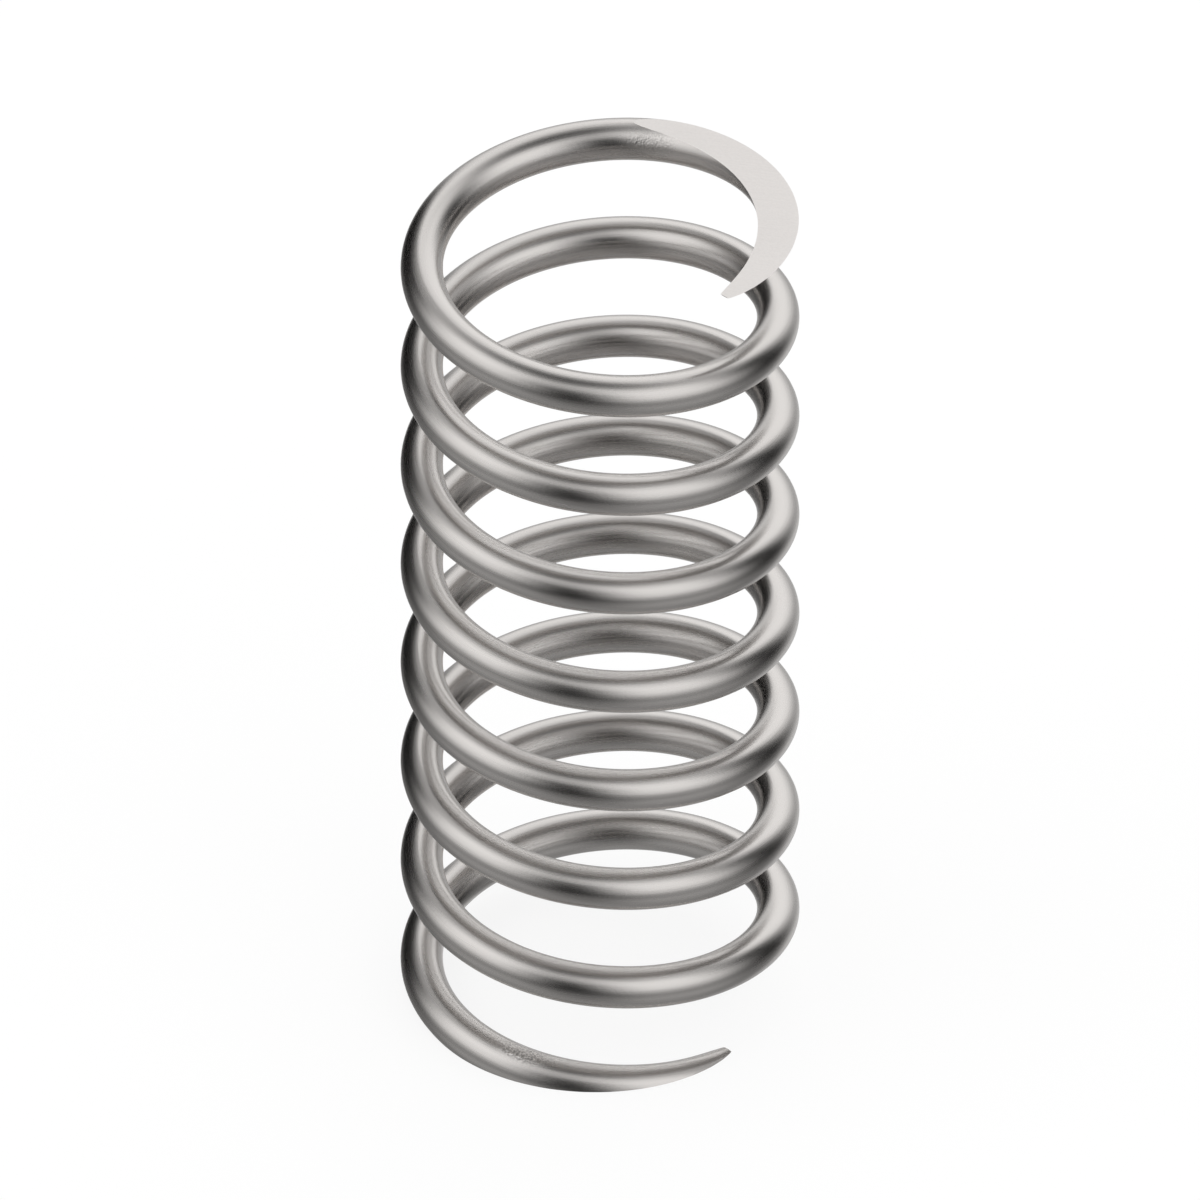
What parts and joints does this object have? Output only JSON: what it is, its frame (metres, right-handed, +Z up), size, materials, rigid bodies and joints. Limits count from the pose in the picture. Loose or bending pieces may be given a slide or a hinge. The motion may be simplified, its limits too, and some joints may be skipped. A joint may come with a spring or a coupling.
{
  "type": "compression spring",
  "caption": "Small left-hand helical compression spring of round wire, evenly pitched, with open ends ground flat.",
  "frame": {"origin": "on the spring's axis, in the plane of its lower ground end", "axes": "+Z up along the spring's axis; +X towards the tips of both ground ends"},
  "size_m": [0.0122, 0.0122, 0.0283],
  "materials": {
    "spring_steel": "bright drawn spring wire, satin, with fine lengthwise drawing lines; the two bearing faces are finely ground"
  },
  "bodies": {
    "root": {"coil_spring": "spring_steel"}
  },
  "joints": []
}
